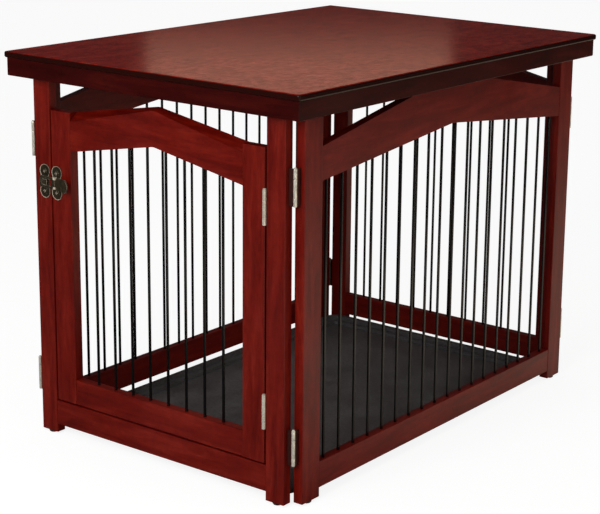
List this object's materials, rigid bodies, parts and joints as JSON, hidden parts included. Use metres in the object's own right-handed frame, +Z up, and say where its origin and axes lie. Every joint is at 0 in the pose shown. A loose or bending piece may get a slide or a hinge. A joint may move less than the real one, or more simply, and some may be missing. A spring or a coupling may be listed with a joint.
{
  "type": "dog crate end table",
  "caption": "Wooden end table that doubles as a dog crate: panels of upright rods hinged at the corners, a latched front door, a floor pan and a flat top that lifts off.",
  "frame": {"origin": "middle of the footprint on the floor", "axes": "+X to the right seen from the door, +Y from the door to the back, +Z up"},
  "size_m": [0.6, 0.85, 0.635],
  "materials": {
    "stained_wood": "satin",
    "top_veneer": "satin",
    "black_rod": "gloss",
    "nickel": "satin",
    "antique_brass": "aged",
    "pan_plastic": "fine texture",
    "glide_plastic": "smooth"
  },
  "bodies": {
    "frame": {"back_arch_rail": "stained_wood", "back_bottom_rail": "stained_wood", "back_post_left": "stained_wood", "back_post_right": "stained_wood", "back_rods": "black_rod", "corner_hinge_long_leaves": "nickel", "corner_hinge_pins": "nickel", "corner_hinge_short_leaves": "nickel", "door_hinge_pins": "nickel", "door_hinge_post_leaves": "nickel", "front_bottom_rail": "stained_wood", "front_post_left": "stained_wood", "front_post_right": "stained_wood", "glides": "glide_plastic", "latch_post_plate": "antique_brass", "latch_striker": "antique_brass", "left_arch_rail": "stained_wood", "left_bottom_rail": "stained_wood", "left_post_back": "stained_wood", "left_post_front": "stained_wood", "left_rods": "black_rod", "right_arch_rail": "stained_wood", "right_bottom_rail": "stained_wood", "right_post_back": "stained_wood", "right_post_front": "stained_wood", "right_rods": "black_rod"},
    "tabletop": {"tabletop_board": "top_veneer", "apron_front": "stained_wood", "apron_back": "stained_wood", "apron_left": "stained_wood", "apron_right": "stained_wood", "tabletop_corner_blocks": "stained_wood"},
    "door": {"door_stile_left": "stained_wood", "door_stile_right": "stained_wood", "door_bottom_rail": "stained_wood", "door_arch_rail": "stained_wood", "door_rods": "black_rod", "door_hinge_door_leaves": "nickel", "latch_door_plate": "antique_brass", "latch_pin": "antique_brass"},
    "latch_bail_body": {"latch_bail": "antique_brass"},
    "pan": {"floor_pan": "pan_plastic"}
  },
  "joints": [
    {"name": "tabletop_lift", "type": "slide", "parent": "frame", "child": "tabletop", "axis": [0, 0, 1], "range_m": [0, 0.08]},
    {"name": "door_swing", "type": "hinge", "parent": "frame", "child": "door", "pos_m": [0.2215, -0.4056, 0.3], "axis": [0, 0, 1], "range_deg": [0, 170]},
    {"name": "latch_lift", "type": "hinge", "parent": "door", "child": "latch_bail_body", "pos_m": [-0.2105, -0.4076, 0.43], "axis": [0, 0, 1], "range_deg": [0, 10]},
    {"name": "pan_lift", "type": "slide", "parent": "frame", "child": "pan", "axis": [0, 0, 1], "range_m": [0, 0.5]}
  ]
}
